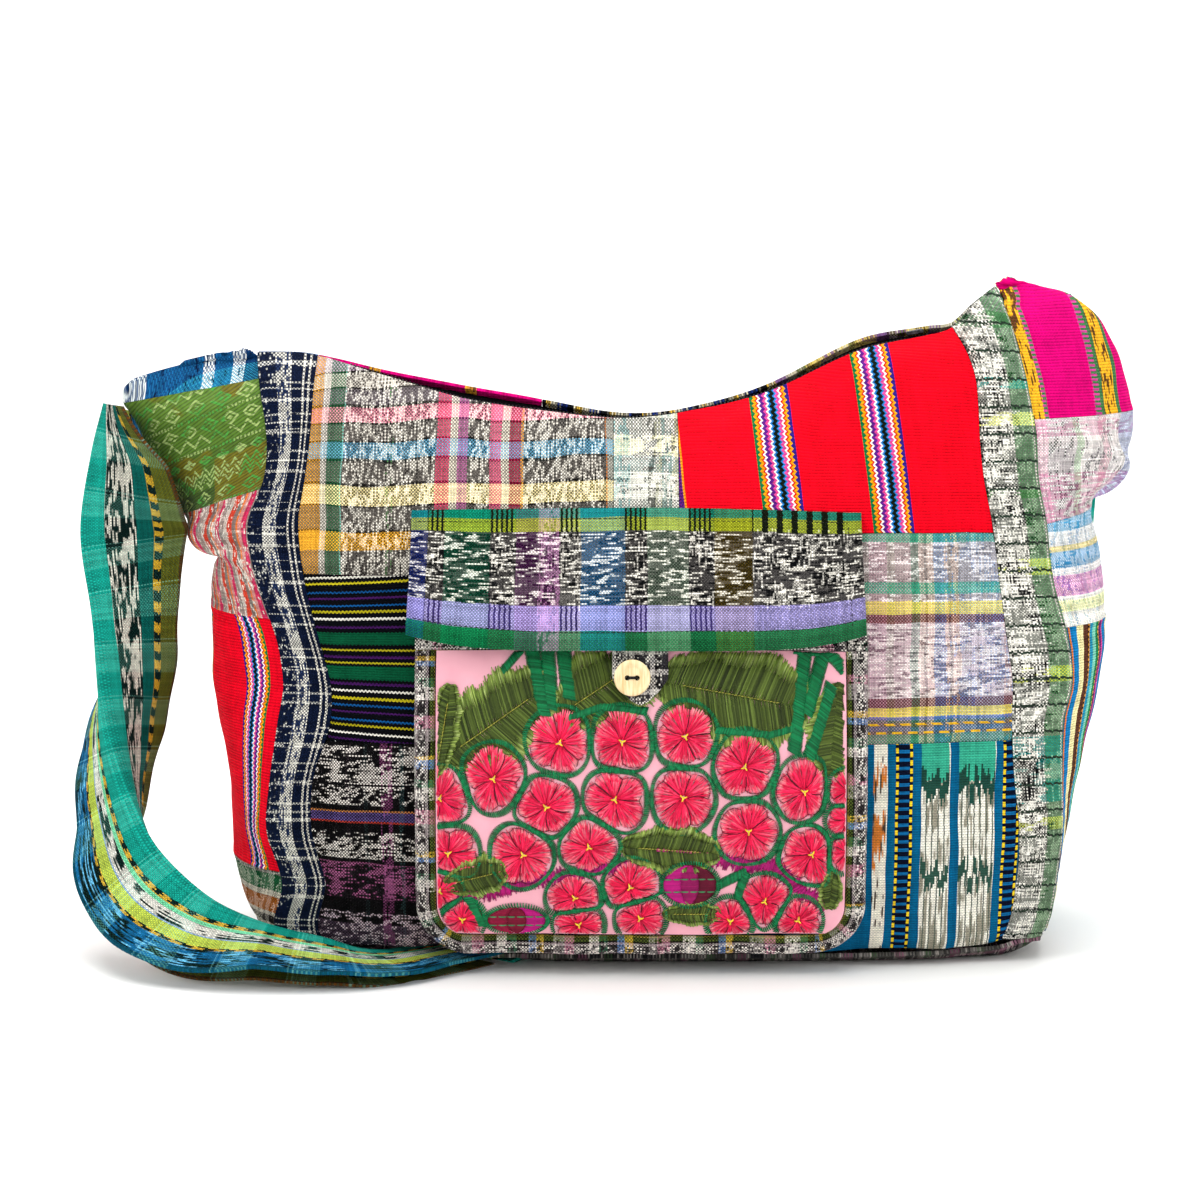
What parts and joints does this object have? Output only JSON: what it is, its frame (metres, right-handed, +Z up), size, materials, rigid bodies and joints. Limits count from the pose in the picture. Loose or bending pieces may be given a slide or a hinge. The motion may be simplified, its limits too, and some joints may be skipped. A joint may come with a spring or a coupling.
{
  "type": "patchwork purse",
  "caption": "Slouchy zip-top shoulder purse sewn from handwoven ikat, plaid and striped patches, with an embroidered flap pocket and a long folded strap",
  "frame": {"origin": "On the floor under the flat underside of the base panel, midway between the front and the back.", "axes": "+X runs to the right across the front as the picture shows it, +Y to the back, +Z up."},
  "size_m": [0.5472, 0.2719, 0.3467],
  "materials": {
    "navy_check": "handwoven cotton",
    "rose_plaid": "handwoven cotton",
    "pale_plaid": "handwoven cotton",
    "red_rib": "ribbed handweave",
    "grey_green_ikat": "handwoven cotton",
    "dark_stripe": "handwoven cotton",
    "black_ikat": "handwoven cotton",
    "pastel_plaid": "handwoven cotton",
    "teal_ikat": "ribbed handweave",
    "blue_plaid": "handwoven cotton",
    "magenta_ikat": "handwoven cotton",
    "indigo_stripe": "handwoven cotton",
    "ochre_plaid": "handwoven cotton",
    "green_stripe": "handwoven cotton",
    "crimson_stripe": "handwoven cotton",
    "grey_check": "handwoven cotton",
    "coral_stripe": "handwoven cotton",
    "green_brocade": "handwoven cotton",
    "blue_stripe": "handwoven cotton",
    "lilac_plaid": "handwoven cotton",
    "pink_grey_plaid": "handwoven cotton",
    "base_cloth": "handwoven cotton",
    "zip_tape": "woven tape",
    "zip_coil": "moulded",
    "zip_slider": "moulded",
    "pink_satin": "satin embroidery ground",
    "binding_plaid": "handwoven cotton",
    "flap_ikat": "handwoven cotton",
    "tab_check": "handwoven cotton",
    "button_wood": "turned, unvarnished",
    "strap_stripe": "handwoven cotton"
  },
  "bodies": {
    "root": {"front_left_strip": "navy_check", "front_upper_plaid": "rose_plaid", "front_pale_plaid": "pale_plaid", "front_red_stripe": "red_rib", "front_right_strip": "grey_green_ikat", "front_dark_stripe": "dark_stripe", "front_black_plaid": "black_ikat", "front_pastel_plaid": "pastel_plaid", "front_teal_ikat": "teal_ikat", "back_left_strip": "blue_plaid", "back_upper_left": "magenta_ikat", "back_upper_mid": "indigo_stripe", "back_upper_right": "ochre_plaid", "back_right_strip": "grey_green_ikat", "back_lower_left": "green_stripe", "back_lower_right": "crimson_stripe", "gusset_left_foot": "grey_check", "gusset_left_red": "red_rib", "gusset_left_coral": "coral_stripe", "shoulder_left_brocade": "green_brocade", "shoulder_left_plaid": "blue_plaid", "shoulder_left_back": "blue_plaid", "gusset_right_stripe": "blue_stripe", "gusset_right_plaid": "lilac_plaid", "gusset_right_pale": "pink_grey_plaid", "shoulder_right_magenta": "magenta_ikat", "bottom_panel": "base_cloth", "zip_tape_front": "zip_tape", "zip_tape_back": "zip_tape", "zip_coil": "zip_coil", "zip_slider": "zip_slider", "pocket_panel": "pink_satin", "pocket_border_left": "binding_plaid", "pocket_border_right": "binding_plaid", "pocket_border_bottom": "binding_plaid", "pocket_hem": "binding_plaid", "pocket_flap": "flap_ikat", "pocket_tab": "tab_check", "pocket_button": "button_wood", "strap_left": "strap_stripe", "strap_base": "strap_stripe", "strap_right": "strap_stripe"}
  },
  "joints": []
}
